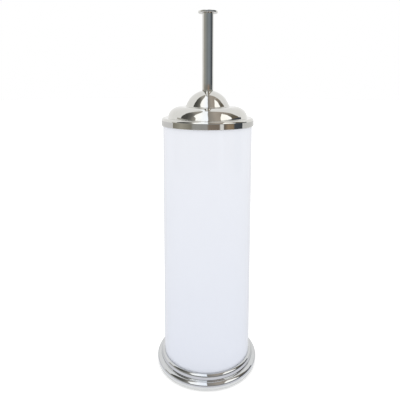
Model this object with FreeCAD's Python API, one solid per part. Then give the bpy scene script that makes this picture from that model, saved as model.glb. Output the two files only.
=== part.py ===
import FreeCAD, Part
import math
import os

# Toilet brush holder: an enamelled steel tube on a stepped chrome base, a drip cup that stands in
# the tube, and a brush whose chrome lid is clamped between its handle and its shaft.
# Millimetres, +Z up along the tube's axis, origin on the floor under the middle of the base.

V = FreeCAD.Vector
AXIS = V(0, 0, 1)

# ---- driving dimensions ----
SHEET = 0.8                   # steel sheet of the tube, the floor, the base skirt and the lid
SEAT_GAP = 0.1                # slack of pieces that are welded or pressed into one another
THREAD_GAP = 0.05             # slack between a stud and its nut or bush, on the radius
BRAZE_GAP = 0.05              # slack round a bush that is brazed into a tube
PAST = 1.0                    # how far a cutting shape reaches past the face that it cuts

TUBE_R = 47.5
TUBE_FOOT_Z = 9.6             # the tube stands on the deck of the base skirt
TUBE_TOP_Z = 273.0
HEM_DEPTH = 6.0               # inward fold along the tube's mouth

BASE_R = 55.6
BASE_EDGE_Z = 1.0             # lower edge of the skirt
BASE_WALL_Z = 6.0             # upper end of the skirt's upright wall
STEP_Z = 8.3
STEP_INNER_R = 52.6
RING_R = 51.3                 # upper ring of the skirt, around the tube
RING_TOP_Z = 14.3
COVER_Z = 2.0                 # underside of the bottom cover
COVER_THICK = 2.0

SCREW_COUNT = 3
SCREW_RING_R = 25.0
M4_R = 1.95
M4_HOLE_R = 2.2
M4_NUT_ACROSS = 7.0
M4_NUT_HIGH = 3.2

CUP_FOOT_R = 35.2
CUP_WALL = 1.5
CUP_FLOOR_Z = 14.6            # underside of the cup's floor, above the nuts
CUP_LOW_R = 40.4
CUP_HIGH_R = 43.4
CUP_RIM_R = 45.2
CUP_TOP_Z = 120.0

LID_R = 49.2
LID_EDGE_Z = 266.8
LEDGE_Z = 275.0
SHOULDER_R = 42.2             # upright wall of the lid's rounded shoulder
SHOULDER_Z = 277.6
CROWN_R = 30.0                # where the shoulder has become flat
CROWN_Z = 286.3
DOME_R = 24.6
DOME_CENTRE_Z = 279.5
DOME_FOOT_Z = 285.9

M6_R = 2.95
M6_BORE_R = M6_R + THREAD_GAP
M6_HOLE_R = 3.3
HANDLE_R = 6.0
HANDLE_WALL = 0.8
HANDLE_FOOT_Z = 304.2
HANDLE_TOP_Z = 384.2
CAP_R = 10.25
CAP_THICK = 2.0

SADDLE_R = 9.0
SADDLE_FOOT_Z = 299.4
LOCK_WASHER_THICK = 1.4
M6_NUT_ACROSS = 10.0
M6_NUT_HIGH = 5.0

SHAFT_R = 5.0
SHAFT_WALL = 0.7
SHAFT_FOOT_Z = 114.0
INSERT_LONG = 18.0

CORE_R = 8.2
CORE_FOOT_Z = 24.0
CORE_NECK_Z = 104.0
BRISTLE_R = 36.5
BRISTLE_LOW_Z = 20.0
BRISTLE_SPLIT_Z = 30.0        # where the side tufts end and the tip tufts begin
BRISTLE_GAP = 0.5             # between the side tufts and the tip tufts
BRISTLE_HIGH_Z = 101.0


class Section:
    """Closed outline in the XZ half-plane, made of straight runs and round bends."""

    def __init__(self, r, z):
        self.first = V(r, 0, z)
        self.last = self.first
        self.edges = []

    def line(self, r, z):
        target = V(r, 0, z)
        self.edges.append(Part.LineSegment(self.last, target).toShape())
        self.last = target
        return self

    def bend(self, corner_r, corner_z, r, z):
        """Round bend towards (r, z) that is tangent to both sides of the corner."""
        corner = V(corner_r, 0, corner_z)
        target = V(r, 0, z)
        turn = (corner - self.last).getAngle(target - corner)
        curve = Part.BezierCurve()
        curve.setPoles([self.last, corner, target])
        curve.setWeight(2, math.cos(turn / 2))
        self.edges.append(curve.toShape())
        self.last = target
        return self

    def arc(self, mid_r, mid_z, r, z):
        target = V(r, 0, z)
        self.edges.append(Part.Arc(self.last, V(mid_r, 0, mid_z), target).toShape())
        self.last = target
        return self

    def turned(self):
        """The solid that the outline sweeps in a full turn about the Z axis."""
        self.line(self.first.x, self.first.z)
        face = Part.Face(Part.Wire(self.edges))
        solid = face.revolve(V(0, 0, 0), AXIS, 360)
        if solid.Volume < 0:
            solid.reverse()
        return solid


def rod(radius, low, high, x=0.0, y=0.0):
    return Part.makeCylinder(radius, high - low, V(x, y, low))


def pipe(outer, inner, low, high):
    return rod(outer, low, high).cut(rod(inner, low - PAST, high + PAST))


def hexagon(across, low, high, x=0.0, y=0.0):
    corner_r = across / math.sqrt(3)
    corners = []
    for side in range(7):
        angle = math.radians(60 * side)
        corners.append(V(x + corner_r * math.cos(angle), y + corner_r * math.sin(angle), low))
    return Part.Face(Part.makePolygon(corners)).extrude(V(0, 0, high - low))


def screw_places():
    """Centres of the screws, evenly spaced round the axis."""
    places = []
    for index in range(SCREW_COUNT):
        angle = math.radians(90 + 360 * index / SCREW_COUNT)
        places.append((SCREW_RING_R * math.cos(angle), SCREW_RING_R * math.sin(angle)))
    return places


def drilled(solid, radius, low, high):
    """The solid with a hole at every screw."""
    for x, y in screw_places():
        solid = solid.cut(rod(radius, low, high, x, y))
    return solid


def sphere_z(radius, r):
    """Height of the dome's sphere, of the given radius, at the distance r from the axis."""
    return DOME_CENTRE_Z + math.sqrt(radius ** 2 - r ** 2)


def sphere_r(radius, z):
    return math.sqrt(radius ** 2 - (z - DOME_CENTRE_Z) ** 2)


# ---- holder: the tube on its base ----

def body_tube():
    """Rolled and welded tube with a hemmed mouth and a weld bead inside, at the back."""
    inner = TUBE_R - SHEET
    hem_inner = inner - SHEET - SEAT_GAP
    edge = SHEET
    crest = (TUBE_R + hem_inner) / 2
    wall = Section(TUBE_R, TUBE_FOOT_Z)
    wall.line(TUBE_R, TUBE_TOP_Z - edge)
    wall.bend(TUBE_R, TUBE_TOP_Z, crest, TUBE_TOP_Z)
    wall.bend(hem_inner, TUBE_TOP_Z, hem_inner, TUBE_TOP_Z - edge)
    wall.line(hem_inner, TUBE_TOP_Z - HEM_DEPTH)
    wall.line(inner, TUBE_TOP_Z - HEM_DEPTH)
    wall.line(inner, TUBE_FOOT_Z)
    bead_wide = 2.4
    bead_proud = 0.4
    bead_low = TUBE_FOOT_Z + 10.0
    bead_high = TUBE_TOP_Z - HEM_DEPTH - 1.0
    corner = V(-bead_wide / 2, inner - bead_proud, bead_low)
    bead = Part.makeBox(bead_wide, bead_proud + SHEET / 2, bead_high - bead_low, corner)
    return wall.turned().fuse(bead).removeSplitter()


def tube_floor():
    """Dished disc that is welded inside the tube's foot."""
    outer = TUBE_R - SHEET - SEAT_GAP
    top = TUBE_FOOT_Z + SHEET
    flange_high = 7.5
    flange_top = TUBE_FOOT_Z + flange_high
    bend = 1.6
    dish = Section(0, TUBE_FOOT_Z)
    dish.line(outer - bend, TUBE_FOOT_Z)
    dish.bend(outer, TUBE_FOOT_Z, outer, TUBE_FOOT_Z + bend)
    dish.line(outer, flange_top)
    dish.line(outer - SHEET, flange_top)
    dish.line(outer - SHEET, TUBE_FOOT_Z + bend)
    dish.bend(outer - SHEET, top, outer - bend, top)
    dish.line(0, top)
    return drilled(dish.turned(), M4_HOLE_R, TUBE_FOOT_Z - PAST, top + PAST)


def floor_nuts():
    """Weld nuts on the tube's floor."""
    low = TUBE_FOOT_Z + SHEET
    high = low + M4_NUT_HIGH
    nuts = []
    for x, y in screw_places():
        nut = hexagon(M4_NUT_ACROSS, low, high, x, y)
        nuts.append(nut.cut(rod(M4_R + THREAD_GAP, low - PAST, high + PAST, x, y)))
    return Part.makeCompound(nuts)


def base_skirt():
    """Pressed base: deck, groove for the tube, rounded ring, cove, rounded step and wall."""
    deck_top = TUBE_FOOT_Z
    deck_hole_r = 8.0
    groove_r = TUBE_R + SEAT_GAP
    lip = 1.1
    ring_round = 2.6
    cove = STEP_INNER_R - RING_R
    step_round = STEP_Z - BASE_WALL_Z
    hem = 0.6
    inner_cove = cove + SHEET
    inner_round = ring_round - SHEET
    skirt = Section(deck_hole_r, deck_top)
    skirt.line(groove_r, deck_top)
    skirt.line(groove_r, RING_TOP_Z - lip)
    skirt.bend(groove_r, RING_TOP_Z, groove_r + lip, RING_TOP_Z)
    skirt.bend(RING_R, RING_TOP_Z, RING_R, RING_TOP_Z - ring_round)
    skirt.line(RING_R, STEP_Z + cove)
    skirt.bend(RING_R, STEP_Z, STEP_INNER_R, STEP_Z)
    skirt.line(BASE_R - step_round, STEP_Z)
    skirt.bend(BASE_R, STEP_Z, BASE_R, BASE_WALL_Z)
    skirt.line(BASE_R, BASE_EDGE_Z + hem)
    skirt.bend(BASE_R, BASE_EDGE_Z, BASE_R - hem, BASE_EDGE_Z)
    skirt.line(BASE_R - SHEET, BASE_EDGE_Z)
    skirt.line(BASE_R - SHEET, BASE_WALL_Z)
    skirt.bend(BASE_R - SHEET, STEP_Z - SHEET, BASE_R - step_round, STEP_Z - SHEET)
    skirt.line(STEP_INNER_R, STEP_Z - SHEET)
    skirt.bend(RING_R - SHEET, STEP_Z - SHEET, RING_R - SHEET, STEP_Z - SHEET + inner_cove)
    skirt.line(RING_R - SHEET, RING_TOP_Z - SHEET - inner_round)
    skirt.bend(RING_R - SHEET, RING_TOP_Z - SHEET, groove_r + lip, RING_TOP_Z - SHEET)
    skirt.line(groove_r + SHEET, RING_TOP_Z - SHEET)
    skirt.line(groove_r + SHEET, deck_top - SHEET)
    skirt.line(deck_hole_r, deck_top - SHEET)
    return drilled(skirt.turned(), M4_HOLE_R, deck_top - SHEET - PAST, deck_top + PAST)


def base_cover():
    """Moulded bottom cover with a rim, and a counterbored boss at every screw."""
    outer = BASE_R - SHEET - SEAT_GAP
    top = COVER_Z + COVER_THICK
    rim_wall = 1.6
    rim_top = top + rim_wall
    boss_r = 6.2
    boss_top = TUBE_FOOT_Z - SHEET
    bore_r = 4.1
    bore_top = 5.6
    cover = rod(outer, COVER_Z, top).fuse(pipe(outer, outer - rim_wall, top, rim_top))
    for x, y in screw_places():
        cover = cover.fuse(rod(boss_r, COVER_Z, boss_top, x, y))
    cover = drilled(cover, M4_HOLE_R, COVER_Z - PAST, boss_top + PAST)
    return drilled(cover, bore_r, COVER_Z - PAST, bore_top).removeSplitter()


def base_screws():
    """Cross-head screws that hold the cover and the skirt to the tube's floor."""
    head_r = 3.8
    head_round = 0.9
    head_low = 3.2
    head_high = 5.6
    tip = 14.0
    slot_wide = 0.9
    slot_long = 3.6
    slot_deep = 1.2
    screws = []
    for x, y in screw_places():
        head = rod(head_r, head_low, head_high, x, y)
        lower_edges = [edge for edge in head.Edges if edge.BoundBox.ZMax < head_low + 0.1]
        head = head.makeFillet(head_round, lower_edges)
        low = V(x - slot_long / 2, y - slot_wide / 2, head_low - PAST)
        cross = Part.makeBox(slot_long, slot_wide, slot_deep + PAST, low)
        low = V(x - slot_wide / 2, y - slot_long / 2, head_low - PAST)
        cross = cross.fuse(Part.makeBox(slot_wide, slot_long, slot_deep + PAST, low))
        screws.append(head.cut(cross).fuse(rod(M4_R, head_high, tip, x, y)).removeSplitter())
    return Part.makeCompound(screws)


def foot_ring():
    """Non-slip ring under the cover, the only piece that meets the floor."""
    outer = 52.5
    inner = 44.0
    edge = 0.5
    ring = Section(inner + edge, 0)
    ring.line(outer - edge, 0)
    ring.line(outer, edge)
    ring.line(outer, COVER_Z)
    ring.line(inner, COVER_Z)
    ring.line(inner, edge)
    return ring.turned()


# ---- drip cup ----

def drip_cup():
    """Tapered moulded cup on a foot ring, with a flat rim to lift it by."""
    stand_z = TUBE_FOOT_Z + SHEET
    floor_top = CUP_FLOOR_Z + CUP_WALL
    foot_wall = 2.0
    corner = 1.8
    rim_low = CUP_TOP_Z - 3.0
    rim_edge = 0.8
    mouth_round = 1.2
    mouth_r = CUP_HIGH_R - CUP_WALL
    inner_low_r = CUP_LOW_R - CUP_WALL
    cup = Section(CUP_FOOT_R - foot_wall, stand_z)
    cup.line(CUP_FOOT_R, stand_z)
    cup.line(CUP_FOOT_R, CUP_FLOOR_Z)
    cup.line(CUP_LOW_R - corner, CUP_FLOOR_Z)
    cup.bend(CUP_LOW_R, CUP_FLOOR_Z, CUP_LOW_R, CUP_FLOOR_Z + corner)
    cup.line(CUP_HIGH_R, rim_low)
    cup.line(CUP_RIM_R, rim_low)
    cup.line(CUP_RIM_R, CUP_TOP_Z - rim_edge)
    cup.bend(CUP_RIM_R, CUP_TOP_Z, CUP_RIM_R - rim_edge, CUP_TOP_Z)
    cup.line(mouth_r + mouth_round, CUP_TOP_Z)
    cup.bend(mouth_r, CUP_TOP_Z, mouth_r, CUP_TOP_Z - mouth_round)
    cup.line(inner_low_r, floor_top + corner)
    cup.bend(inner_low_r, floor_top, inner_low_r - corner, floor_top)
    cup.line(0, floor_top)
    cup.line(0, CUP_FLOOR_Z)
    cup.line(CUP_FOOT_R - foot_wall, CUP_FLOOR_Z)
    return cup.turned()


# ---- brush: lid, handle, shaft and head ----

def lid_shell():
    """Pressed lid: rim, ledge, rounded shoulder, sunk crown and central dome."""
    hem = 0.3
    rim_round = 2.6
    cove = 1.4
    foot_rise = 0.85
    inner_rise = 0.75
    rim_inner = LID_R - SHEET
    shoulder_inner = SHOULDER_R - SHEET
    dome_inner = DOME_R - SHEET
    half = DOME_R * math.sqrt(0.5)
    half_inner = dome_inner * math.sqrt(0.5)
    foot_end = DOME_FOOT_Z + foot_rise
    inner_end = DOME_FOOT_Z + inner_rise
    inner_corner_r = sphere_r(dome_inner, DOME_FOOT_Z) + 0.1
    lid = Section(rim_inner, LID_EDGE_Z)
    lid.line(LID_R - hem, LID_EDGE_Z)
    lid.bend(LID_R, LID_EDGE_Z, LID_R, LID_EDGE_Z + hem)
    lid.line(LID_R, LEDGE_Z - rim_round)
    lid.bend(LID_R, LEDGE_Z, LID_R - rim_round, LEDGE_Z)
    lid.line(SHOULDER_R + cove, LEDGE_Z)
    lid.bend(SHOULDER_R, LEDGE_Z, SHOULDER_R, LEDGE_Z + cove)
    lid.line(SHOULDER_R, SHOULDER_Z)
    lid.bend(SHOULDER_R, CROWN_Z, CROWN_R, CROWN_Z)
    lid.line(DOME_R, DOME_FOOT_Z)
    lid.bend(sphere_r(DOME_R, DOME_FOOT_Z), DOME_FOOT_Z, sphere_r(DOME_R, foot_end), foot_end)
    lid.arc(half, sphere_z(DOME_R, half), M6_HOLE_R, sphere_z(DOME_R, M6_HOLE_R))
    lid.line(M6_HOLE_R, sphere_z(dome_inner, M6_HOLE_R))
    lid.arc(half_inner, sphere_z(dome_inner, half_inner), sphere_r(dome_inner, inner_end), inner_end)
    lid.bend(inner_corner_r, DOME_FOOT_Z - SHEET, DOME_R, DOME_FOOT_Z - SHEET)
    lid.line(CROWN_R, CROWN_Z - SHEET)
    lid.bend(shoulder_inner, CROWN_Z - SHEET, shoulder_inner, SHOULDER_Z)
    lid.line(shoulder_inner, LEDGE_Z + cove)
    lid.bend(shoulder_inner, LEDGE_Z - SHEET, SHOULDER_R + cove, LEDGE_Z - SHEET)
    lid.line(LID_R - rim_round, LEDGE_Z - SHEET)
    lid.bend(rim_inner, LEDGE_Z - SHEET, rim_inner, LEDGE_Z - rim_round)
    return lid.turned()


def centring_ring():
    """Moulded ring pressed into the lid: it rests on the tube's mouth and centres the lid in it."""
    mouth_slack = 0.4
    web_low = TUBE_TOP_Z
    web_high = LEDGE_Z - SHEET
    web_outer = LID_R - 2.6
    leg_outer = TUBE_R - 2 * SHEET - SEAT_GAP - mouth_slack
    leg_inner = leg_outer - 1.2
    leg_low = web_low - 11.0
    lead_in_wide = 0.5
    lead_in_high = 1.5
    spigot_outer = SHOULDER_R - SHEET - SEAT_GAP
    spigot_inner = spigot_outer - 1.1
    spigot_high = web_high + 4.8
    ring = Section(spigot_inner, web_low)
    ring.line(leg_inner, web_low)
    ring.line(leg_inner, leg_low)
    ring.line(leg_outer - lead_in_wide, leg_low)
    ring.line(leg_outer, leg_low + lead_in_high)
    ring.line(leg_outer, web_low)
    ring.line(web_outer, web_low)
    ring.line(web_outer, web_high)
    ring.line(spigot_outer, web_high)
    ring.line(spigot_outer, spigot_high)
    ring.line(spigot_inner, spigot_high)
    return ring.turned()


def dome_gasket():
    """Thin nylon washer, flat above and hollow below, between the handle's foot and the dome."""
    outer = HANDLE_R + 0.6
    edge = 0.2
    middle = (outer + M6_HOLE_R) / 2
    washer = Section(M6_HOLE_R, sphere_z(DOME_R, M6_HOLE_R))
    washer.arc(middle, sphere_z(DOME_R, middle), outer, sphere_z(DOME_R, outer))
    washer.line(outer, HANDLE_FOOT_Z - edge)
    washer.line(outer - edge, HANDLE_FOOT_Z)
    washer.line(M6_HOLE_R, HANDLE_FOOT_Z)
    return washer.turned()


def saddle_washer():
    """Thick washer whose round top fits the inside of the dome."""
    inner_dome = DOME_R - SHEET
    middle = (SADDLE_R + M6_HOLE_R) / 2
    washer = Section(M6_HOLE_R, SADDLE_FOOT_Z)
    washer.line(SADDLE_R, SADDLE_FOOT_Z)
    washer.line(SADDLE_R, sphere_z(inner_dome, SADDLE_R))
    washer.arc(middle, sphere_z(inner_dome, middle), M6_HOLE_R, sphere_z(inner_dome, M6_HOLE_R))
    return washer.turned()


def lock_washer():
    """Split spring washer under the saddle washer."""
    outer = 5.4
    inner = M6_R + 0.15
    split_wide = 0.9
    low = SADDLE_FOOT_Z - LOCK_WASHER_THICK
    corner = V(0, -split_wide / 2, low - PAST)
    split = Part.makeBox(outer + PAST, split_wide, LOCK_WASHER_THICK + 2 * PAST, corner)
    return pipe(outer, inner, low, SADDLE_FOOT_Z).cut(split)


def clamp_nut_low():
    return SADDLE_FOOT_Z - LOCK_WASHER_THICK - M6_NUT_HIGH


def clamp_nut():
    """Hexagon nut that clamps the lid's dome against the handle's foot."""
    low = clamp_nut_low()
    high = low + M6_NUT_HIGH
    return hexagon(M6_NUT_ACROSS, low, high).cut(rod(M6_BORE_R, low - PAST, high + PAST))


def threaded_rod(low, high):
    """Plain M6 rod with pointed ends, for a threaded stud."""
    tip = 0.8
    stud = Section(0, low)
    stud.line(M6_R - tip, low)
    stud.line(M6_R, low + tip)
    stud.line(M6_R, high - tip)
    stud.line(M6_R - tip, high)
    stud.line(0, high)
    return stud.turned()


def clamp_stud():
    """Stud that joins the handle, through the lid, to the shaft."""
    into_shaft = 12.0
    into_handle = 13.8
    return threaded_rod(clamp_nut_low() - into_shaft, HANDLE_FOOT_Z + into_handle)


def handle_insert():
    """Threaded bush brazed into the handle's foot."""
    outer = HANDLE_R - HANDLE_WALL - BRAZE_GAP
    return pipe(outer, M6_BORE_R, HANDLE_FOOT_Z, HANDLE_FOOT_Z + INSERT_LONG)


def handle_tube():
    return pipe(HANDLE_R, HANDLE_R - HANDLE_WALL, HANDLE_FOOT_Z, HANDLE_TOP_Z)


def handle_cap():
    """Flat disc with a plug that is pressed into the handle's top."""
    plug_r = HANDLE_R - HANDLE_WALL - SEAT_GAP
    plug_low = HANDLE_TOP_Z - 8.0
    plug_edge = 0.8
    top = HANDLE_TOP_Z + CAP_THICK
    upper = 0.8
    lower = 0.4
    cap = Section(0, plug_low)
    cap.line(plug_r - plug_edge, plug_low)
    cap.line(plug_r, plug_low + plug_edge)
    cap.line(plug_r, HANDLE_TOP_Z)
    cap.line(CAP_R - lower, HANDLE_TOP_Z)
    cap.bend(CAP_R, HANDLE_TOP_Z, CAP_R, HANDLE_TOP_Z + lower)
    cap.line(CAP_R, top - upper)
    cap.bend(CAP_R, top, CAP_R - upper, top)
    cap.line(0, top)
    return cap.turned()


def shaft_tube():
    return pipe(SHAFT_R, SHAFT_R - SHAFT_WALL, SHAFT_FOOT_Z, clamp_nut_low())


def shaft_top_insert():
    """Threaded bush in the shaft's top, which jams against the clamp nut."""
    top = clamp_nut_low()
    return pipe(SHAFT_R - SHAFT_WALL - BRAZE_GAP, M6_BORE_R, top - INSERT_LONG, top)


def shaft_bottom_insert():
    """Threaded bush in the shaft's foot, for the head's stud."""
    outer = SHAFT_R - SHAFT_WALL - BRAZE_GAP
    return pipe(outer, M6_BORE_R, SHAFT_FOOT_Z, SHAFT_FOOT_Z + INSERT_LONG)


def head_stud():
    into_core = 18.0
    into_shaft = 14.0
    return threaded_rod(SHAFT_FOOT_Z - into_core, SHAFT_FOOT_Z + into_shaft)


def head_core():
    """Moulded core that holds the tufts, with a neck up to the shaft and a blind bore."""
    neck_r = SHAFT_R + 0.6
    end_round = 5.0
    shoulder_high = 6.0
    shoulder_corner = 4.0
    bore_low = SHAFT_FOOT_Z - 20.0
    core = Section(0, CORE_FOOT_Z)
    core.line(CORE_R - end_round, CORE_FOOT_Z)
    core.bend(CORE_R, CORE_FOOT_Z, CORE_R, CORE_FOOT_Z + end_round)
    core.line(CORE_R, CORE_NECK_Z)
    core.bend(CORE_R, CORE_NECK_Z + shoulder_corner, neck_r, CORE_NECK_Z + shoulder_high)
    core.line(neck_r, SHAFT_FOOT_Z)
    core.line(M6_BORE_R, SHAFT_FOOT_Z)
    core.line(M6_BORE_R, bore_low)
    core.line(0, bore_low)
    return core.turned()


def side_bristles():
    """Envelope of the tufts that stand out sideways from the core."""
    edge = 3.0
    field = Section(CORE_R, BRISTLE_SPLIT_Z)
    field.line(BRISTLE_R, BRISTLE_SPLIT_Z)
    field.line(BRISTLE_R, BRISTLE_HIGH_Z - edge)
    field.bend(BRISTLE_R, BRISTLE_HIGH_Z, BRISTLE_R - edge, BRISTLE_HIGH_Z)
    field.line(CORE_R, BRISTLE_HIGH_Z)
    return field.turned()


def tip_bristles():
    """Envelope of the tufts that splay out round the core's lower end."""
    top = BRISTLE_SPLIT_Z - BRISTLE_GAP
    corner = 9.0
    field = Section(0, BRISTLE_LOW_Z)
    field.line(BRISTLE_R - corner, BRISTLE_LOW_Z)
    field.bend(BRISTLE_R, BRISTLE_LOW_Z, BRISTLE_R, top)
    field.line(0, top)
    return field.turned().cut(head_core())


NODES = {
    "body_tube": body_tube,
    "tube_floor": tube_floor,
    "floor_nuts": floor_nuts,
    "base_skirt": base_skirt,
    "base_cover": base_cover,
    "base_screws": base_screws,
    "foot_ring": foot_ring,
    "drip_cup": drip_cup,
    "lid_shell": lid_shell,
    "centring_ring": centring_ring,
    "dome_gasket": dome_gasket,
    "saddle_washer": saddle_washer,
    "lock_washer": lock_washer,
    "clamp_nut": clamp_nut,
    "clamp_stud": clamp_stud,
    "handle_insert": handle_insert,
    "handle_tube": handle_tube,
    "handle_cap": handle_cap,
    "shaft_top_insert": shaft_top_insert,
    "shaft_tube": shaft_tube,
    "shaft_bottom_insert": shaft_bottom_insert,
    "head_stud": head_stud,
    "head_core": head_core,
    "side_bristles": side_bristles,
    "tip_bristles": tip_bristles,
}

os.makedirs("parts", exist_ok=True)
for name, make in NODES.items():
    shape = make()
    shape.exportStep("parts/" + name + ".step")
    print(name, "valid", shape.isValid(), "solids", len(shape.Solids), "volume", round(shape.Volume, 1))
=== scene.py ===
import bmesh
import bpy
import math
import random
from mathutils import Matrix, Vector


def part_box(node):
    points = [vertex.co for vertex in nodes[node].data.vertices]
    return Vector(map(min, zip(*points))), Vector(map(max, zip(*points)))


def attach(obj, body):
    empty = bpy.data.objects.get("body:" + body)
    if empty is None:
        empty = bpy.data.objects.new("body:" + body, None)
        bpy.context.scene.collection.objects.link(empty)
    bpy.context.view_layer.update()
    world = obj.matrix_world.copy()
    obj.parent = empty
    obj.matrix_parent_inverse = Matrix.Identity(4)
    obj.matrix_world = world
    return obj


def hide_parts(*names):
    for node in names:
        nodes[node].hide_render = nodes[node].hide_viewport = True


# Toilet brush holder: enamelled tube on a stepped chrome base, domed chrome lid on the brush's handle.
# Metres, +Z up, origin on the floor under the middle of the base; the front faces -Y.

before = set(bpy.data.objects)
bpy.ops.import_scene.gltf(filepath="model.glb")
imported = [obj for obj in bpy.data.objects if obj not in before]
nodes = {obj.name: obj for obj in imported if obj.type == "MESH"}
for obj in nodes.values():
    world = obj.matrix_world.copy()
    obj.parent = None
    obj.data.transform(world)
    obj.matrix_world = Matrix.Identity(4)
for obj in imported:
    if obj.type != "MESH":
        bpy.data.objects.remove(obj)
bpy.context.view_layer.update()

MM = 0.001
SHEET = 0.8 * MM              # pressed steel sheet
STUD_HOLE_R = 3.3 * MM        # clearance for the M6 stud in the lid's dome and in the gasket
UP = Vector((0, 0, 1))
ROUND_STEPS = 192             # faces round the large turned pieces
MIRROR_STEPS = 384            # faces round the base and the lid, whose mirror finish shows each one
SLIM_STEPS = 72               # faces round the handle, the shaft and other slim pieces
DOME_STEPS = 26               # faces along the dome, from its foot to its hole
CORNER_STEPS = 10             # faces round a rounded corner


# ---- how turned pieces are made ----

class Outline:
    """A section in the XZ half-plane that one full spin about Z turns into a piece."""

    def __init__(self, r, z):
        self.mesh = bmesh.new()
        self.first = self.mesh.verts.new((r, 0, z))
        self.last = self.first
        self.rounded = []

    def line(self, r, z, rounding=0, stretch=1):
        """Straight run to (r, z). The corner there may be rounded, and its arc stretched in r."""
        corner = self.mesh.verts.new((r, 0, z))
        self.mesh.edges.new((self.last, corner))
        self.last = corner
        if rounding:
            self.rounded.append((corner, rounding, stretch))

    def arc(self, r, z, turn, steps):
        """Arc about (r, z), anticlockwise where turn, in degrees, is above 0."""
        made = bmesh.ops.spin(self.mesh, geom=[self.last], cent=(r, 0, z), axis=(0, 1, 0),
                              angle=-math.radians(turn), steps=steps)
        self.last = made["geom_last"][0]

    def close(self):
        """Last run, back to the first point, for a section that doesn't end on the axis."""
        self.mesh.edges.new((self.last, self.first))
        return self

    def round_corners(self):
        """Rounds the marked corners; a stretch keeps the arc's end on the wall where it is."""
        for corner, rounding, stretch in self.rounded:
            made = bmesh.ops.bevel(self.mesh, geom=[corner], offset=rounding, offset_type="OFFSET",
                                   affect="VERTICES", segments=CORNER_STEPS, profile=0.5, material=-1)
            if stretch != 1:
                wall_r = max(vert.co.x for vert in made["verts"])
                bmesh.ops.scale(self.mesh, vec=(stretch, 1, 1), verts=made["verts"],
                                space=Matrix.Translation((-wall_r, 0, 0)))

    def spun(self, steps=ROUND_STEPS):
        """The mesh of the full turn, with its seam and poles closed and its faces outwards."""
        self.round_corners()
        bmesh.ops.spin(self.mesh, geom=self.mesh.verts[:] + self.mesh.edges[:], cent=(0, 0, 0),
                       axis=UP, angle=2 * math.pi, steps=steps, use_merge=True)
        bmesh.ops.remove_doubles(self.mesh, verts=self.mesh.verts, dist=0.005 * MM)
        bmesh.ops.recalc_face_normals(self.mesh, faces=self.mesh.faces)
        return self.mesh


def piece(name, mesh, material, body, stands_for):
    """A finished piece from a bmesh: smooth, with sharp edges kept, riding on its body."""
    data = bpy.data.meshes.new(name)
    mesh.to_mesh(data)
    mesh.free()
    for face in data.polygons:
        face.use_smooth = True
    data.set_sharp_from_angle(angle=math.radians(40))
    data.materials.append(material)
    made = bpy.data.objects.new(name, data)
    bpy.context.scene.collection.objects.link(made)
    weight = made.modifiers.new("flat_faces_lead", "WEIGHTED_NORMAL")
    weight.keep_sharp = True
    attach(made, body)
    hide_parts(stands_for)
    return made


# ---- materials ----

def linear(code):
    """sRGB hex to linear RGBA."""
    channels = [int(code[i:i + 2], 16) / 255 for i in (1, 3, 5)]
    return [c / 12.92 if c <= 0.04045 else ((c + 0.055) / 1.055) ** 2.4 for c in channels] + [1.0]


def add(tree, kind, values=None, links=None, **settings):
    """Adds a shader node with its settings, socket values and links."""
    node = tree.nodes.new("ShaderNode" + kind)
    for name, value in settings.items():
        setattr(node, name, value)
    for socket, value in (values or {}).items():
        node.inputs[socket].default_value = value
    for socket, source in (links or {}).items():
        tree.links.new(source, node.inputs[socket])
    return node


def finish_tree(name, surface):
    """A new material: its tree, its place in object coordinates and its main shader."""
    material = bpy.data.materials.new(name)
    material.use_nodes = True
    tree = material.node_tree
    tree.nodes.clear()
    place = add(tree, "TexCoord").outputs["Object"]
    shader = add(tree, "BsdfPrincipled", surface)
    add(tree, "OutputMaterial", links={"Surface": shader.outputs["BSDF"]})
    return material, tree, place, shader


def stoved_enamel():
    """Stoved white enamel: a hard, glossy, faintly cool white with a slight orange peel,
    with painted shade that makes it darker and cooler towards the foot of the tube."""
    peel = 3.0 * MM
    cloud = 70 * MM
    wipe = 18 * MM
    material, tree, place, shader = finish_tree("stoved_enamel", {
        "IOR": 1.5, "Specular IOR Level": 0.35})
    split = add(tree, "SeparateXYZ", links={"Vector": place})
    # Painted shade: this ramp over height makes the white darker and bluer towards the tube's foot, with
    # random clouds mixed in.
    height = add(tree, "MapRange", {"From Min": 20 * MM, "From Max": 260 * MM, "To Max": 0.85},
                 {"Value": split.outputs["Z"]})
    clouds = add(tree, "TexNoise", {"Scale": 1 / cloud, "Detail": 3.0}, {"Vector": place})
    clouds_and_painted_shade = add(tree, "Math", {1: 0.15}, {0: clouds.outputs["Fac"], 2: height.outputs["Result"]},
                operation="MULTIPLY_ADD")
    tint = add(tree, "ValToRGB", links={"Fac": clouds_and_painted_shade.outputs["Value"]})
    tint.color_ramp.elements[0].color = linear("#D8DCE6")
    tint.color_ramp.elements[1].color = linear("#E5E7ED")
    wiped = add(tree, "TexNoise", {"Scale": 1 / wipe, "Detail": 4.0}, {"Vector": place})
    gloss = add(tree, "MapRange", {"From Min": 0.3, "From Max": 0.7, "To Min": 0.10, "To Max": 0.17},
                {"Value": wiped.outputs["Fac"]})
    peels = add(tree, "TexNoise", {"Scale": 1 / peel, "Detail": 1.0}, {"Vector": place})
    bump = add(tree, "Bump", {"Strength": 0.25, "Distance": 0.02 * MM},
               {"Height": peels.outputs["Fac"]})
    tree.links.new(tint.outputs["Color"], shader.inputs["Base Color"])
    tree.links.new(gloss.outputs["Result"], shader.inputs["Roughness"])
    tree.links.new(bump.outputs["Normal"], shader.inputs["Normal"])
    return material


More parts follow.
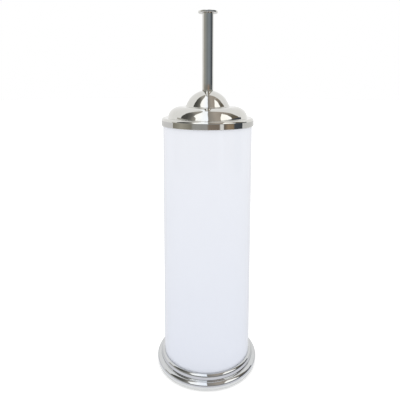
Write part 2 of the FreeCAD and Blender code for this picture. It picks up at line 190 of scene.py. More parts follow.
def bright_chrome():
    """Polished chrome plate: a near mirror, faintly warm, with a painted cool light that tints it bluer
    low down, with rings left by the buffing wheel and slow waves in the sheet under it."""
    ring = 0.7 * MM
    wipe = 9 * MM
    wave = 22 * MM
    material, tree, place, shader = finish_tree("bright_chrome", {"Metallic": 1.0})
    split = add(tree, "SeparateXYZ", links={"Vector": place})
    flat = add(tree, "CombineXYZ", links={"X": split.outputs["X"], "Y": split.outputs["Y"]})
    radius = add(tree, "VectorMath", links={0: flat.outputs["Vector"]}, operation="LENGTH")
    section = add(tree, "CombineXYZ", links={"X": radius.outputs["Value"], "Y": split.outputs["Z"]})
    rings = add(tree, "TexNoise", {"Scale": 1 / ring, "Detail": 2.0},
                {"Vector": section.outputs["Vector"]})
    dulled = add(tree, "TexNoise", {"Scale": 1 / wipe, "Detail": 5.0, "Roughness": 0.6}, {"Vector": place})
    tint = add(tree, "ValToRGB", links={"Fac": dulled.outputs["Fac"]})
    tint.color_ramp.elements[0].position = 0.3
    tint.color_ramp.elements[0].color = linear("#D3D2CD")
    tint.color_ramp.elements[1].position = 0.7
    tint.color_ramp.elements[1].color = linear("#D9D8D4")
    # Painted light: this ramp over height tints the chrome bluer low down, standing in for cooler
    # reflected light there.
    height = add(tree, "MapRange", {"From Min": 60 * MM, "From Max": 240 * MM},
                 {"Value": split.outputs["Z"]})
    painted_cool_light = add(tree, "ValToRGB", links={"Fac": height.outputs["Result"]})
    painted_cool_light.color_ramp.elements[0].color = linear("#F6F9FF")
    painted_cool_light.color_ramp.elements[1].color = linear("#FFFFFF")
    shade = add(tree, "VectorMath", links={0: tint.outputs["Color"], 1: painted_cool_light.outputs["Color"]},
                operation="MULTIPLY")
    both = add(tree, "Math", links={0: rings.outputs["Fac"], 1: dulled.outputs["Fac"]},
               operation="MULTIPLY")
    gloss = add(tree, "MapRange", {"From Min": 0.1, "From Max": 0.45, "To Min": 0.03, "To Max": 0.07},
                {"Value": both.outputs["Value"]})
    waves = add(tree, "TexNoise", {"Scale": 1 / wave, "Detail": 0.0}, {"Vector": place})
    bump = add(tree, "Bump", {"Strength": 0.4, "Distance": 0.1 * MM}, {"Height": waves.outputs["Fac"]})
    tree.links.new(shade.outputs["Vector"], shader.inputs["Base Color"])
    tree.links.new(gloss.outputs["Result"], shader.inputs["Roughness"])
    tree.links.new(bump.outputs["Normal"], shader.inputs["Normal"])
    return material


def zinc_plate():
    """Bright zinc plate: grey metal with blue and straw patches from its passivation."""
    patch = 7 * MM
    crystal = 0.6 * MM
    material, tree, place, shader = finish_tree("zinc_plate", {"Metallic": 1.0})
    patches = add(tree, "TexNoise", {"Scale": 1 / patch, "Detail": 3.0}, {"Vector": place})
    tint = add(tree, "ValToRGB", links={"Fac": patches.outputs["Fac"]})
    tint.color_ramp.elements[0].position = 0.35
    tint.color_ramp.elements[0].color = linear("#B9C2CC")
    tint.color_ramp.elements[1].position = 0.65
    tint.color_ramp.elements[1].color = linear("#CFCDC4")
    grain = add(tree, "TexNoise", {"Scale": 1 / crystal, "Detail": 2.0}, {"Vector": place})
    gloss = add(tree, "MapRange", {"From Min": 0.3, "From Max": 0.7, "To Min": 0.26, "To Max": 0.42},
                {"Value": grain.outputs["Fac"]})
    tree.links.new(tint.outputs["Color"], shader.inputs["Base Color"])
    tree.links.new(gloss.outputs["Result"], shader.inputs["Roughness"])
    return material


def drawn_stainless():
    """Drawn stainless tube: satin grey steel with fine lines along its length."""
    line = 0.5 * MM
    material, tree, place, shader = finish_tree("drawn_stainless", {"Metallic": 1.0})
    along = add(tree, "Mapping", {"Scale": (1, 1, 0.02)}, {"Vector": place})
    lines = add(tree, "TexNoise", {"Scale": 1 / line, "Detail": 3.0},
                {"Vector": along.outputs["Vector"]})
    tint = add(tree, "ValToRGB", links={"Fac": lines.outputs["Fac"]})
    tint.color_ramp.elements[0].position = 0.3
    tint.color_ramp.elements[0].color = linear("#B4B2AE")
    tint.color_ramp.elements[1].position = 0.7
    tint.color_ramp.elements[1].color = linear("#D6D5D2")
    gloss = add(tree, "MapRange", {"From Min": 0.3, "From Max": 0.7, "To Min": 0.2, "To Max": 0.34},
                {"Value": lines.outputs["Fac"]})
    bump = add(tree, "Bump", {"Strength": 0.3, "Distance": 0.02 * MM},
               {"Height": lines.outputs["Fac"]})
    tree.links.new(tint.outputs["Color"], shader.inputs["Base Color"])
    tree.links.new(gloss.outputs["Result"], shader.inputs["Roughness"])
    tree.links.new(bump.outputs["Normal"], shader.inputs["Normal"])
    return material


def turned_brass():
    """Turned brass: yellow metal with the lathe tool's rings."""
    ring = 0.4 * MM
    material, tree, place, shader = finish_tree("turned_brass", {"Metallic": 1.0})
    split = add(tree, "SeparateXYZ", links={"Vector": place})
    section = add(tree, "CombineXYZ", links={"X": split.outputs["Z"]})
    rings = add(tree, "TexNoise", {"Scale": 1 / ring, "Detail": 2.0},
                {"Vector": section.outputs["Vector"]})
    tint = add(tree, "ValToRGB", links={"Fac": rings.outputs["Fac"]})
    tint.color_ramp.elements[0].color = linear("#C69A4E")
    tint.color_ramp.elements[1].color = linear("#E2BF74")
    gloss = add(tree, "MapRange", {"To Min": 0.22, "To Max": 0.4}, {"Value": rings.outputs["Fac"]})
    tree.links.new(tint.outputs["Color"], shader.inputs["Base Color"])
    tree.links.new(gloss.outputs["Result"], shader.inputs["Roughness"])
    return material


def moulded_polypropylene():
    """Moulded white polypropylene: milky, satin, with faint flow clouds and a fine skin."""
    skin = 0.8 * MM
    cloud = 30 * MM
    material, tree, place, shader = finish_tree("moulded_polypropylene", {
        "IOR": 1.49, "Subsurface Weight": 0.15, "Subsurface Scale": 2 * MM})
    flow = add(tree, "TexNoise", {"Scale": 1 / cloud, "Detail": 4.0}, {"Vector": place})
    tint = add(tree, "ValToRGB", links={"Fac": flow.outputs["Fac"]})
    tint.color_ramp.elements[0].position = 0.3
    tint.color_ramp.elements[0].color = linear("#EAEAE8")
    tint.color_ramp.elements[1].position = 0.7
    tint.color_ramp.elements[1].color = linear("#F0F0EE")
    grain = add(tree, "TexNoise", {"Scale": 1 / skin, "Detail": 2.0}, {"Vector": place})
    gloss = add(tree, "MapRange", {"From Min": 0.3, "From Max": 0.7, "To Min": 0.34, "To Max": 0.48},
                {"Value": grain.outputs["Fac"]})
    bump = add(tree, "Bump", {"Strength": 0.3, "Distance": 0.03 * MM},
               {"Height": grain.outputs["Fac"]})
    tree.links.new(tint.outputs["Color"], shader.inputs["Base Color"])
    tree.links.new(gloss.outputs["Result"], shader.inputs["Roughness"])
    tree.links.new(bump.outputs["Normal"], shader.inputs["Normal"])
    return material


def natural_nylon():
    """Uncoloured nylon, darkened with age: a greyish ivory, a little translucent, softly glossy."""
    cloud = 3 * MM
    material, tree, place, shader = finish_tree("natural_nylon", {
        "IOR": 1.53, "Subsurface Weight": 0.3, "Subsurface Scale": 1 * MM})
    clouds = add(tree, "TexNoise", {"Scale": 1 / cloud, "Detail": 3.0}, {"Vector": place})
    tint = add(tree, "ValToRGB", links={"Fac": clouds.outputs["Fac"]})
    tint.color_ramp.elements[0].color = linear("#8F8C82")
    tint.color_ramp.elements[1].color = linear("#A5A298")
    gloss = add(tree, "MapRange", {"To Min": 0.25, "To Max": 0.4}, {"Value": clouds.outputs["Fac"]})
    tree.links.new(tint.outputs["Color"], shader.inputs["Base Color"])
    tree.links.new(gloss.outputs["Result"], shader.inputs["Roughness"])
    return material


def grained_abs():
    """Black ABS from a spark-eroded mould: a matt, finely pebbled black."""
    pebble = 0.7 * MM
    material, tree, place, shader = finish_tree("grained_abs", {"IOR": 1.54})
    pebbles = add(tree, "TexVoronoi", {"Scale": 1 / pebble}, {"Vector": place},
                  feature="SMOOTH_F1")
    tint = add(tree, "ValToRGB", links={"Fac": pebbles.outputs["Distance"]})
    tint.color_ramp.elements[0].color = linear("#242426")
    tint.color_ramp.elements[1].color = linear("#19191B")
    gloss = add(tree, "MapRange", {"To Min": 0.48, "To Max": 0.64},
                {"Value": pebbles.outputs["Distance"]})
    bump = add(tree, "Bump", {"Strength": 0.5, "Distance": 0.08 * MM},
               {"Height": pebbles.outputs["Distance"]})
    tree.links.new(tint.outputs["Color"], shader.inputs["Base Color"])
    tree.links.new(gloss.outputs["Result"], shader.inputs["Roughness"])
    tree.links.new(bump.outputs["Normal"], shader.inputs["Normal"])
    return material


def foam_rubber():
    """Closed-cell foam rubber: dull black with small open pores on its cut face, their pits painted darker
    as shade.
    """
    pore = 0.9 * MM
    material, tree, place, shader = finish_tree("foam_rubber", {"IOR": 1.5, "Specular IOR Level": 0.3})
    pores = add(tree, "TexVoronoi", {"Scale": 1 / pore, "Randomness": 1.0}, {"Vector": place})
    # Painted shade: the pores' pits are coloured darker than the rubber between them.
    tint = add(tree, "ValToRGB", links={"Fac": pores.outputs["Distance"]})
    tint.color_ramp.elements[0].position = 0.15
    tint.color_ramp.elements[0].color = linear("#0E0E0E")
    tint.color_ramp.elements[1].position = 0.45
    tint.color_ramp.elements[1].color = linear("#262625")
    gloss = add(tree, "MapRange", {"To Min": 0.95, "To Max": 0.75},
                {"Value": pores.outputs["Distance"]})
    bump = add(tree, "Bump", {"Strength": 0.7, "Distance": 0.2 * MM},
               {"Height": pores.outputs["Distance"]})
    tree.links.new(tint.outputs["Color"], shader.inputs["Base Color"])
    tree.links.new(gloss.outputs["Result"], shader.inputs["Roughness"])
    tree.links.new(bump.outputs["Normal"], shader.inputs["Normal"])
    return material


def bristle_filament():
    """White polypropylene filament: springy threads, milky, bright with a silky sheen."""
    batch = 2.5 * MM
    material, tree, place, shader = finish_tree("bristle_filament", {
        "IOR": 1.49, "Sheen Weight": 0.2, "Sheen Roughness": 0.4,
        "Subsurface Weight": 0.4, "Subsurface Scale": 1 * MM})
    lot = add(tree, "TexNoise", {"Scale": 1 / batch, "Detail": 2.0}, {"Vector": place})
    tint = add(tree, "ValToRGB", links={"Fac": lot.outputs["Fac"]})
    tint.color_ramp.elements[0].position = 0.3
    tint.color_ramp.elements[0].color = linear("#F1F2F0")
    tint.color_ramp.elements[1].position = 0.7
    tint.color_ramp.elements[1].color = linear("#FEFEFC")
    gloss = add(tree, "MapRange", {"To Min": 0.3, "To Max": 0.5}, {"Value": lot.outputs["Fac"]})
    tree.links.new(tint.outputs["Color"], shader.inputs["Base Color"])
    tree.links.new(gloss.outputs["Result"], shader.inputs["Roughness"])
    return material


enamel = stoved_enamel()
chrome = bright_chrome()
zinc = zinc_plate()
stainless = drawn_stainless()
brass = turned_brass()
polypropylene = moulded_polypropylene()
nylon = natural_nylon()
abs_plastic = grained_abs()
rubber = foam_rubber()
filament = bristle_filament()


# ---- holder ----

def tube():
    """Enamelled tube: hemmed at its mouth, with the weld bead inside at the back."""
    low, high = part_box("body_tube")
    outer = high.x
    inner = outer - SHEET
    hem_inner = inner - SHEET - 0.1 * MM
    hem_low = high.z - 6 * MM
    wall = Outline(outer, low.z)
    wall.line(outer, high.z, SHEET)
    wall.line(hem_inner, high.z, SHEET)
    wall.line(hem_inner, hem_low)
    wall.line(inner, hem_low)
    wall.line(inner, low.z)
    mesh = wall.close().spun()
    bead_wide = 2.4 * MM
    bead_thick = 0.7 * MM
    bead_round = 0.3 * MM
    bead_low = low.z + 10 * MM
    bead_long = hem_low - low.z - 12 * MM
    bead = bmesh.ops.create_cube(mesh, size=1)["verts"]
    bmesh.ops.scale(mesh, vec=(bead_wide, bead_thick, bead_long), verts=bead)
    bmesh.ops.translate(mesh, vec=Vector((0, inner, bead_low + bead_long / 2)), verts=bead)
    edges = list({e for v in bead for e in v.link_edges})
    bmesh.ops.bevel(mesh, geom=edges, offset=bead_round, offset_type="OFFSET", affect="EDGES",
                    segments=3, profile=0.5, material=-1)
    return piece("enamelled_tube", mesh, enamel, "holder", "body_tube")


def base():
    """Chromed base: deck under the tube, rounded ring round its foot, step and upright wall."""
    low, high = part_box("base_skirt")
    outer = high.x
    hole_r = 8 * MM
    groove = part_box("body_tube")[1].x + 0.1 * MM
    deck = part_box("body_tube")[0].z
    ring_r = outer - 4.3 * MM
    step_z = low.z + 7.3 * MM
    lip = 0.2 * MM
    ring_round = 4.6 * MM
    ring_stretch = (ring_r - groove - lip) / ring_round
    inner_round = 1.8 * MM
    cove = 0.35 * MM
    step_round = 3.9 * MM
    hem = 0.6 * MM
    skirt = Outline(hole_r, deck)
    skirt.line(groove, deck)
    skirt.line(groove, high.z)
    skirt.line(ring_r, high.z, ring_round, ring_stretch)
    skirt.line(ring_r, step_z, cove)
    skirt.line(outer, step_z, step_round)
    skirt.line(outer, low.z, hem)
    skirt.line(outer - SHEET, low.z)
    skirt.line(outer - SHEET, step_z - SHEET, step_round - SHEET)
    skirt.line(ring_r - SHEET, step_z - SHEET, cove)
    skirt.line(ring_r - SHEET, high.z - SHEET, inner_round)
    skirt.line(groove + SHEET, high.z - SHEET)
    skirt.line(groove + SHEET, deck - SHEET)
    skirt.line(hole_r, deck - SHEET)
    mesh = skirt.close().spun(MIRROR_STEPS)
    return piece("chromed_base", mesh, chrome, "holder", "base_skirt")


def foot():
    """Foam rubber ring that the holder stands on."""
    low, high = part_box("foot_ring")
    outer = high.x
    inner = outer - 8.5 * MM
    edge = 0.5 * MM
    ring = Outline(inner, low.z)
    ring.line(outer, low.z, edge)
    ring.line(outer, high.z)
    ring.line(inner, high.z)
    mesh = ring.close().spun()
    return piece("rubber_foot", mesh, rubber, "holder", "foot_ring")


# ---- drip cup ----

def cup():
    """Moulded drip cup: foot ring, tapered wall and a flat rim."""
    low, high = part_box("drip_cup")
    rim_r = high.x
    wall = 1.5 * MM
    foot_r = rim_r - 10 * MM
    foot_wall = 2 * MM
    low_r = rim_r - 4.8 * MM
    high_r = rim_r - 1.8 * MM
    floor_z = low.z + 4.2 * MM
    rim_low = high.z - 3 * MM
    edge = 0.4 * MM
    rim_round = 0.8 * MM
    mouth_round = 1.2 * MM
    floor_round = 1.8 * MM
    pot = Outline(0, floor_z)
    pot.line(foot_r - foot_wall, floor_z)
    pot.line(foot_r - foot_wall, low.z, edge)
    pot.line(foot_r, low.z, edge)
    pot.line(foot_r, floor_z)
    pot.line(low_r, floor_z, floor_round)
    pot.line(high_r, rim_low)
    pot.line(rim_r, rim_low, edge)
    pot.line(rim_r, high.z, rim_round)
    pot.line(high_r - wall, high.z, mouth_round)
    pot.line(low_r - wall, floor_z + wall, floor_round)
    pot.line(0, floor_z + wall)
    return piece("drip_pot", pot.spun(), polypropylene, "cup", "drip_cup")


# ---- brush: lid and handle ----

def lid():
    """Chromed lid: rim, ledge, rounded shoulder that leans in, sunk crown and dome."""
    low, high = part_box("lid_shell")
    rim_r = high.x
    ledge_z = low.z + 8.2 * MM
    shoulder_r = rim_r - 7.0 * MM
    crown_z = ledge_z + 12.0 * MM
    crown_r = 28.5 * MM
    dome_r = 24.6 * MM
    dome_z = ledge_z + 4.5 * MM
    foot_z = crown_z - 0.4 * MM
    sink = 0.27 * MM
    shoulder_high = 10.2 * MM
    shoulder_foot = shoulder_r + 0.4 * MM
    shoulder_top = shoulder_r - 1.8 * MM
    edge = 0.3 * MM
    rim_round = 2.6 * MM
    cove = 0.5 * MM
    dome_cove = 0.8 * MM
    stretch = (shoulder_foot - crown_r) / (shoulder_foot - shoulder_top + shoulder_high)
    foot_angle = math.degrees(math.asin((foot_z - dome_z) / dome_r))
    hole_angle = math.degrees(math.acos(STUD_HOLE_R / dome_r))
    foot_r = math.sqrt(dome_r ** 2 - (foot_z - dome_z) ** 2)
    shell = Outline(rim_r - SHEET, low.z)
    shell.line(rim_r, low.z, edge)
    shell.line(rim_r, ledge_z, rim_round)
    shell.line(shoulder_foot, ledge_z, cove)
    shell.line(shoulder_top, crown_z, shoulder_high, stretch)
    shell.line(crown_r - 2 * MM, crown_z - sink)
    shell.line(foot_r, foot_z, dome_cove)
    shell.arc(0, dome_z, hole_angle - foot_angle, DOME_STEPS)
    inner_r = dome_r - SHEET
    inner_hole = math.degrees(math.acos(STUD_HOLE_R / inner_r))
    inner_foot = math.degrees(math.asin((foot_z - dome_z) / inner_r))
    shell.line(STUD_HOLE_R, dome_z + math.sqrt(inner_r ** 2 - STUD_HOLE_R ** 2))
    shell.arc(0, dome_z, inner_foot - inner_hole, DOME_STEPS)
    shell.line(shell.last.co.x + 0.2 * MM, foot_z - SHEET)
    shell.line(crown_r, crown_z - SHEET)
    shell.line(shoulder_top - SHEET, crown_z - SHEET, shoulder_high - SHEET, stretch)
    shell.line(shoulder_foot - SHEET, ledge_z - SHEET, cove)
    shell.line(rim_r - SHEET, ledge_z - SHEET, rim_round - SHEET)
    mesh = shell.close().spun(MIRROR_STEPS)
    return piece("chromed_lid", mesh, chrome, "brush", "lid_shell")


def lid_ring():
    """Moulded ring inside the lid: web, leg into the tube's mouth and spigot into the shoulder."""
    low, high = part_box("centring_ring")
    wall = 1.2 * MM
    spigot_wall = 1.1 * MM
    web_r = high.x
    leg_r = web_r - 1.2 * MM
    web_low = low.z + 11 * MM
    web_high = web_low + wall
    spigot_r = web_r - 5.6 * MM
    spigot_inner = spigot_r - spigot_wall
    lead_wide = 0.5 * MM
    lead_high = 1.5 * MM
    edge = 0.3 * MM
    ring = Outline(spigot_inner, web_low)
    ring.line(leg_r - wall, web_low)
    ring.line(leg_r - wall, low.z, edge)
    ring.line(leg_r - lead_wide, low.z)
    ring.line(leg_r, low.z + lead_high)
    ring.line(leg_r, web_low)
    ring.line(web_r, web_low)
    ring.line(web_r, web_high)
    ring.line(spigot_r, web_high)
    ring.line(spigot_r, high.z, edge)
    ring.line(spigot_inner, high.z, edge)
    mesh = ring.close().spun()
    return piece("lid_ring", mesh, polypropylene, "brush", "centring_ring")


def gasket():
    """Thin washer under the handle's foot, cupped where it lies on the dome."""
    low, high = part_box("dome_gasket")
    outer = high.x - 0.9 * MM
    cupped = 0.35 * MM
    outer_low = low.z + 0.1 * MM
    edge = 0.15 * MM
    washer = Outline(STUD_HOLE_R, outer_low + cupped)
    washer.line(outer, outer_low)
    washer.line(outer, high.z, edge)
    washer.line(STUD_HOLE_R, high.z)
    mesh = washer.close().spun(SLIM_STEPS)
    return piece("nylon_gasket", mesh, nylon, "brush", "dome_gasket")


def handle():
    """Chromed handle tube, with its foot edge broken."""
    low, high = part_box("handle_tube")
    inner = high.x - 0.8 * MM
    edge = 0.25 * MM
    grip = Outline(inner, low.z)
    grip.line(high.x, low.z, edge)
    grip.line(high.x, high.z)
    grip.line(inner, high.z)
    mesh = grip.close().spun(SLIM_STEPS)
    return piece("chromed_handle", mesh, chrome, "brush", "handle_tube")


def cap():
    """Flat disc on the handle's top, with its plug inside the tube."""
    low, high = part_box("handle_cap")
    tube_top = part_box("handle_tube")[1].z
    plug_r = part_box("handle_tube")[1].x - 0.9 * MM
    plug_round = 0.8 * MM
    edge = 0.4 * MM
    disc = Outline(0, low.z)
    disc.line(plug_r, low.z, plug_round)
    disc.line(plug_r, tube_top)
    disc.line(high.x, tube_top, edge)
    disc.line(high.x, high.z, edge)
    disc.line(0, high.z)
    return piece("handle_disc", disc.spun(SLIM_STEPS), chrome, "brush", "handle_cap")


def shaft():
    """Stainless tube between the lid and the brush head, with both end edges broken."""
    low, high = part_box("shaft_tube")
    inner = high.x - 0.7 * MM
    edge = 0.2 * MM
    stem = Outline(inner, low.z)
    stem.line(high.x, low.z, edge)
    stem.line(high.x, high.z, edge)
    stem.line(inner, high.z)
    mesh = stem.close().spun(SLIM_STEPS)
    return piece("steel_shaft", mesh, stainless, "brush", "shaft_tube")


# ---- brush: head ----

def core():
    """Moulded core of the head, with its shoulder and neck."""
    low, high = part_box("head_core")
    core_r = high.x
    neck_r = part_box("shaft_tube")[1].x + 0.6 * MM
    shoulder_z = high.z - 10 * MM
    neck_low = shoulder_z + 6 * MM
    bore_r = 3.0 * MM
    bore_low = high.z - 20 * MM
    tip_round = 5 * MM
    shoulder_round = 1.5 * MM
    neck_cove = 1.2 * MM
    edge = 0.3 * MM
    plug = Outline(0, low.z)
    plug.line(core_r, low.z, tip_round)
    plug.line(core_r, shoulder_z, shoulder_round)
    plug.line(neck_r, neck_low, neck_cove)
    plug.line(neck_r, high.z, edge)
    plug.line(bore_r, high.z)
    plug.line(bore_r, bore_low)
    plug.line(0, bore_low)
    mesh = plug.spun(SLIM_STEPS)
    return piece("brush_core", mesh, polypropylene, "brush", "head_core")


def tuft(dice, long, spread_round, spread_along):
    """One tuft along +X from the origin: a bunch of three-sided filaments that bend as they fan out.
    A filament is drawn thicker than a real one, and there are fewer, so that they show."""
    filament_r = 0.22 * MM
    filaments = 24
    runs = 3
    bow = 1.4
    bunch = bmesh.new()
    for _ in range(filaments):
        end = bmesh.ops.create_circle(bunch, cap_ends=True, segments=3, radius=filament_r)["verts"]
        bmesh.ops.rotate(bunch, cent=(0, 0, 0), matrix=Matrix.Rotation(math.pi / 2, 3, "Y"), verts=end)
        root = Vector((0, dice.uniform(-1, 1) * MM, dice.uniform(-1, 1) * MM))
        bmesh.ops.translate(bunch, vec=root, verts=end)
        face = end[0].link_faces[0]
        lean = Vector((0, dice.uniform(-1, 1) * spread_round, dice.uniform(-1, 1) * spread_along))
        reach = long * dice.uniform(0.97, 1.0)
        for run in range(1, runs + 1):
            bend = (run / runs) ** bow - ((run - 1) / runs) ** bow
            grown = bmesh.ops.extrude_face_region(bunch, geom=[face])["geom"]
            if run > 1:
                bmesh.ops.delete(bunch, geom=[face], context="FACES_ONLY")
            face = next(g for g in grown if isinstance(g, bmesh.types.BMFace))
            bmesh.ops.translate(bunch, vec=Vector((reach / runs, 0, 0)) + lean * bend, verts=face.verts)
    bmesh.ops.recalc_face_normals(bunch, faces=bunch.faces)
    data = bpy.data.meshes.new("tuft")
    bunch.to_mesh(data)
    bunch.free()
    return data


def tufted(name, places, dice, long, spread_round, spread_along, stands_for):
    """Tufts at the places, each a matrix that sets the tuft's root and direction."""
    kinds_made = 6
    kinds = [tuft(dice, long, spread_round, spread_along) for _ in range(kinds_made)]
    field = bmesh.new()
    for place in places:
        one = dice.choice(kinds).copy()
        one.transform(place)
        field.from_mesh(one)
        bpy.data.meshes.remove(one)
    for kind in kinds:
        bpy.data.meshes.remove(kind)
    return piece(name, field, filament, "brush", stands_for)


def side_tufts():
    """Rows of tufts round the core, each row turned by half a tuft against the last."""
    low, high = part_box("side_bristles")
    core_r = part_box("head_core")[1].x
    rows = 15
    tufts_in_row = 12
    first = low.z + 2.5 * MM
    last = high.z - 3.5 * MM
    rooted = 0.5 * MM
    long = high.x - core_r - 0.6 * MM
    dice = random.Random(7)
    places = []
    for row in range(rows):
        z = first + (last - first) * row / (rows - 1)
        for index in range(tufts_in_row):
            turn = 2 * math.pi * (index + 0.5 * (row % 2)) / tufts_in_row
            spot = Matrix.Rotation(turn, 4, "Z") @ Matrix.Translation((core_r - rooted, 0, 0))
            places.append(Matrix.Translation((0, 0, z)) @ spot)
    return tufted("side_tufts", places, dice, long, 8.5 * MM, 3.0 * MM, "side_bristles")


def tip_tufts():
    """Tufts that splay out and down round the core's rounded end, shorter the more they droop."""
    core_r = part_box("head_core")[1].x
    root_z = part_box("head_core")[0].z + 3.5 * MM
    long = 10 * MM
    rings = [(24, 4, 0.95, 2.7), (20, 10, 0.95, 2.4), (16, 17, 0.85, 1.9), (12, 27, 0.75, 1.2)]
    dice = random.Random(11)
    places = []
    for tufts_in_ring, droop, root_share, longer in rings:
        for index in range(tufts_in_ring):
            turn = 2 * math.pi * (index + 0.25) / tufts_in_ring
            lean = Matrix.Rotation(math.radians(droop), 4, "Y")
            spot = Matrix.Translation((core_r * root_share, 0, root_z)) @ lean
            places.append(Matrix.Rotation(turn, 4, "Z") @ spot @ Matrix.Diagonal((longer, 1, 2, 1)))
    return tufted("tip_tufts", places, dice, long, 5 * MM, 0.6 * MM, "tip_bristles")


tube()
base()
foot()
cup()
lid()
lid_ring()
gasket()
handle()
cap()
shaft()
core()
side_tufts()
tip_tufts()

# The pieces that keep their CAD shape, all of them hidden inside or underneath, and their finishes.
cad_finishes = {
    "tube_floor": zinc,
    "floor_nuts": zinc,
    "base_screws": zinc,
    "base_cover": abs_plastic,
    "saddle_washer": zinc,
    "lock_washer": zinc,
    "clamp_nut": zinc,
    "clamp_stud": zinc,
    "handle_insert": brass,
    "shaft_top_insert": brass,
    "shaft_bottom_insert": brass,
    "head_stud": zinc,
}
for node_name, finish in cad_finishes.items():
    nodes[node_name].data.materials.clear()
    nodes[node_name].data.materials.append(finish)


# ---- floor, studio and camera ----

def floor():
    """Wide pale table top, lit a little from below, as a light table is."""
    table_r = 6.0
    mesh = bmesh.new()
    bmesh.ops.create_circle(mesh, cap_ends=True, segments=96, radius=table_r)
    data = bpy.data.meshes.new("table_top")
    mesh.to_mesh(data)
    mesh.free()
    material = finish_tree("pale_table", {
        "Base Color": linear("#D2D2D1"), "Roughness": 0.6,
        "Emission Color": linear("#FFFFFF"), "Emission Strength": 0.55})[0]
    data.materials.append(material)
    top = bpy.data.objects.new("table_top", data)
    bpy.context.scene.collection.objects.link(top)


ROOM_FRONT = 2.5              # metres from the object to each side of the dim room
ROOM_LEFT = 5.0
ROOM_RIGHT = 8.0
CEILING = 6.0
CEILING_END = 120             # degrees of rise where its middle and right parts end, behind the object
WINDOW_GLOW = 1.5
WALL_NEAR = 2.45              # to the wall under the windows
WALL_FOOT = 0.28              # height of that wall's lower edge
ROOM_DEEP = 4.0               # to the skirting behind it
SILL = 0.86                   # height of the windows' lower edge
BOARD_HIGH = 0.6              # of the skirting
TABLE_EDGE = 1.0              # where the dark floor starts
SHEEN_START = 0.06            # where the table's own reflection starts, just outside the base


def shown(name, mesh, axis, stops, strength=1.0):
    """A part of the room that only reflections see. Its colours are stops along X in metres, or
    round the object by bearing in degrees, where 0 is in front and -90 on the left."""
    data = bpy.data.meshes.new(name)
    mesh.to_mesh(data)
    mesh.free()
    material = bpy.data.materials.new(name)
    material.use_nodes = True
    tree = material.node_tree
    tree.nodes.clear()
    place = add(tree, "TexCoord").outputs["Object"]
    first = stops[0][0]
    last = stops[-1][0]
    if axis == "bearing":
        first = -180
        last = 180
        turned = add(tree, "Mapping", {"Rotation": (0, 0, math.pi / 2)}, {"Vector": place})
        along = add(tree, "TexGradient", links={"Vector": turned.outputs["Vector"]},
                    gradient_type="RADIAL").outputs["Fac"]
    else:
        split = add(tree, "SeparateXYZ", links={"Vector": place})
        along = add(tree, "MapRange", {"From Min": first, "From Max": last},
                    {"Value": split.outputs["X"]}).outputs["Result"]
    tint = add(tree, "ValToRGB", links={"Fac": along})
    ramp = tint.color_ramp
    for index, (at, color) in enumerate(stops):
        where = (at - first) / (last - first)
        stop = ramp.elements[index] if index < 2 else ramp.elements.new(where)
        stop.position = where
        stop.color = linear(color)
    glow = add(tree, "Emission", {"Strength": strength}, {"Color": tint.outputs["Color"]})
    add(tree, "OutputMaterial", links={"Surface": glow.outputs["Emission"]})
    data.materials.append(material)
    made = bpy.data.objects.new(name, data)
    bpy.context.scene.collection.objects.link(made)
    made.visible_camera = False
    made.visible_diffuse = False
    made.visible_shadow = False
    made.visible_transmission = False


def vault(name, rows, stops, strength=1.0):
    """Part of the room's front, which bends over into its ceiling: rows of rise in degrees, where 0
    is in front and 90 overhead, and the part's left and right there in metres."""
    steps = 32
    mesh = bmesh.new()
    bmesh.ops.create_grid(mesh, x_segments=1, y_segments=steps, size=0.5)
    for spot in mesh.verts:
        rise = rows[0][0] + (rows[-1][0] - rows[0][0]) * (spot.co.y + 0.5)
        above = next((index for index, row in enumerate(rows) if row[0] >= rise), len(rows) - 1)
        start, left, right = rows[max(above - 1, 0)]
        end, left_end, right_end = rows[max(above, 1)]
        share = (rise - start) / (end - start)
        left += (left_end - left) * share
        right += (right_end - right) * share
        turn = math.radians(rise)
        across = left + (right - left) * (spot.co.x + 0.5)
        spot.co = (across, -ROOM_FRONT * math.cos(turn), SILL + (CEILING - SILL) * math.sin(turn))
    shown(name, mesh, "x", stops, strength)


def side_wall(name, x, back_low, back_high, color):
    """Side of the room at x, from the front to where it ends, low down and high up."""
    low = 0.3
    mesh = bmesh.new()
    bmesh.ops.create_grid(mesh, x_segments=1, y_segments=1, size=0.5)
    for spot in mesh.verts:
        high = spot.co.y > 0
        back = back_high if high else back_low
        spot.co = (x, -ROOM_FRONT if spot.co.x < 0 else back, CEILING if high else low)
    shown(name, mesh, "x", [(x - 1, color), (x + 1, color)])


def band(name, near, far, left, right, stops):
    """Part of the room near the floor, between two points in r and z, from the left to the right
    bearing in degrees."""
    steps = 72
    start = Matrix.Rotation(math.radians(left), 3, "Z")
    mesh = bmesh.new()
    ends = [mesh.verts.new((0, -r, z)) for r, z in (near, far)]
    mesh.edges.new(ends)
    bmesh.ops.rotate(mesh, cent=(0, 0, 0), verts=mesh.verts, matrix=start)
    bmesh.ops.spin(mesh, geom=mesh.verts[:] + mesh.edges[:], cent=(0, 0, 0), axis=UP,
                   angle=math.radians(right - left), steps=steps)
    shown(name, mesh, "bearing", stops)


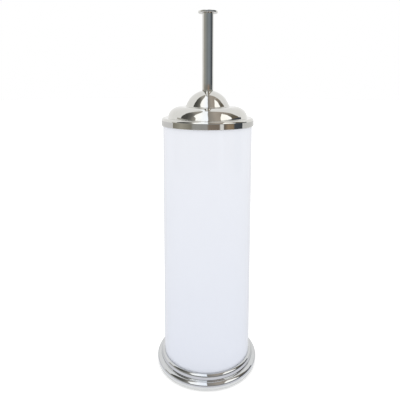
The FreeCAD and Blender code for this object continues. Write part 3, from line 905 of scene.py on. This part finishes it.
def studio():
    """White surroundings, with a dim room in front and two windows in it for the chrome to show."""
    world = bpy.data.worlds.new("white_surroundings")
    world.use_nodes = True
    tree = world.node_tree
    tree.nodes.clear()
    glow = add(tree, "Background", {"Color": linear("#FFFFFF"), "Strength": 1.0})
    add(tree, "OutputWorld", links={"Surface": glow.outputs["Background"]})
    bpy.context.scene.world = world
    vault("wall_left", [(0, -ROOM_LEFT, -1.75), (12, -ROOM_LEFT, -1.8), (26, -ROOM_LEFT, -2.45),
                        (48, -ROOM_LEFT, -2.3), (82, -ROOM_LEFT, -1.25), (103, -ROOM_LEFT, -0.8),
                        (116, -2.7, -0.6), (124, -0.9, -0.5)],
          [(-ROOM_LEFT, "#585854"), (-3.2, "#72716D"), (-1.8, "#AEAAA2")])
    vault("window_left", [(0, -1.75, 0.05), (12, -1.8, 0.05), (26, -2.45, 0.0), (48, -2.3, 0.0),
                          (82, -1.25, 0.0), (113, -0.55, 0.05), (150, -0.45, 0.1)],
          [(-2.4, "#F4F4F2"), (-1.6, "#FFFFFF"), (0.2, "#EEF4FF")], WINDOW_GLOW)
    vault("wall_middle", [(0, 0.05, 1.9), (13, 0.05, 1.98), (38, 0.0, 2.5), (113, 0.05, 3.15),
                          (CEILING_END, 0.05, 3.3)],
          [(0, "#98948E"), (1.2, "#BBB2A8"), (3.3, "#A99F94")])
    vault("window_right", [(0, 1.9, 7.6), (13, 1.98, 7.6), (28, 2.3, 7.6), (38, 2.5, 7.0), (46, 2.58, 5.7),
                           (66, 2.75, 4.6), (72, 2.9, 3.2)],
          [(2, "#FFFDF8"), (7, "#FFFFFF")], WINDOW_GLOW)
    vault("wall_right", [(0, 7.6, ROOM_RIGHT), (28, 7.6, ROOM_RIGHT), (38, 7.0, ROOM_RIGHT),
                         (46, 5.7, ROOM_RIGHT), (66, 4.6, ROOM_RIGHT), (72, 2.9, ROOM_RIGHT),
                         (CEILING_END, 3.3, ROOM_RIGHT)],
          [(3, "#A89E90"), (7, "#7E7A70")])
    side_wall("side_left", -ROOM_LEFT, -0.9, 0.4, "#585854")
    side_wall("side_right", ROOM_RIGHT, 2.1, 1.4, "#746D60")
    band("low_wall", (WALL_NEAR, WALL_FOOT), (WALL_NEAR, SILL + 0.02), -97, 110,
         [(-97, "#BFBDB6"), (-69, "#B1B0AA"), (-44, "#9DA09D"), (-22, "#909596"), (0, "#878D92"),
          (22, "#939BA2"), (44, "#828B92"), (66, "#6C7279"), (80, "#4E5359"), (98, "#4A4E55")])
    band("skirting", (ROOM_DEEP, 0), (ROOM_DEEP, BOARD_HIGH), -97, 110,
         [(-97, "#BFBDB6"), (-69, "#A8A59C"), (-44, "#93918A"), (-5, "#8B8680"), (10, "#B09A88"),
          (30, "#8B8178"), (69, "#70767B"), (98, "#5C6166")])
    band("low_floor", (TABLE_EDGE, 2 * MM), (ROOM_DEEP, 2 * MM), -93, 93,
         [(-93, "#8E8B80"), (-66, "#B0ADA2"), (-40, "#8D8A80"), (-36, "#A8A8A6"), (-2, "#A8A8A8"),
          (2, "#8E8278"), (29, "#857A70"), (30, "#F5F5F5"), (38, "#F5F5F5"), (39, "#6A655E"),
          (50, "#A3917C"), (64, "#97866F"), (68, "#4C5258"), (93, "#464B51")])
    band("table_sheen", (SHEEN_START, MM), (ROOM_DEEP, MM), -180, 180,
         [(-180, "#E6E6E6"), (-100, "#E2E2E4"), (-60, "#F2F2F9"), (60, "#F2F2F9"), (100, "#DCDCDC"),
          (180, "#E6E6E6")])


def camera():
    """The camera stands in front, a little to the left and above the lid, and looks slightly down."""
    tilt = 6.49
    roll = 0.17
    place = Vector((-4.0 * MM, -430.2 * MM, 315.4 * MM))
    data = bpy.data.cameras.new("camera")
    data.sensor_width = 36
    data.lens = 36.14
    data.shift_x = -0.0095
    data.shift_y = -0.1875
    data.clip_start = 10 * MM
    made = bpy.data.objects.new("camera", data)
    turn = Matrix.Rotation(math.radians(90 - tilt), 4, "X") @ Matrix.Rotation(math.radians(roll), 4, "Z")
    made.matrix_world = Matrix.Translation(place) @ turn
    bpy.context.scene.collection.objects.link(made)
    bpy.context.scene.camera = made


floor()
studio()
camera()
bpy.context.scene.view_settings.view_transform = "Standard"
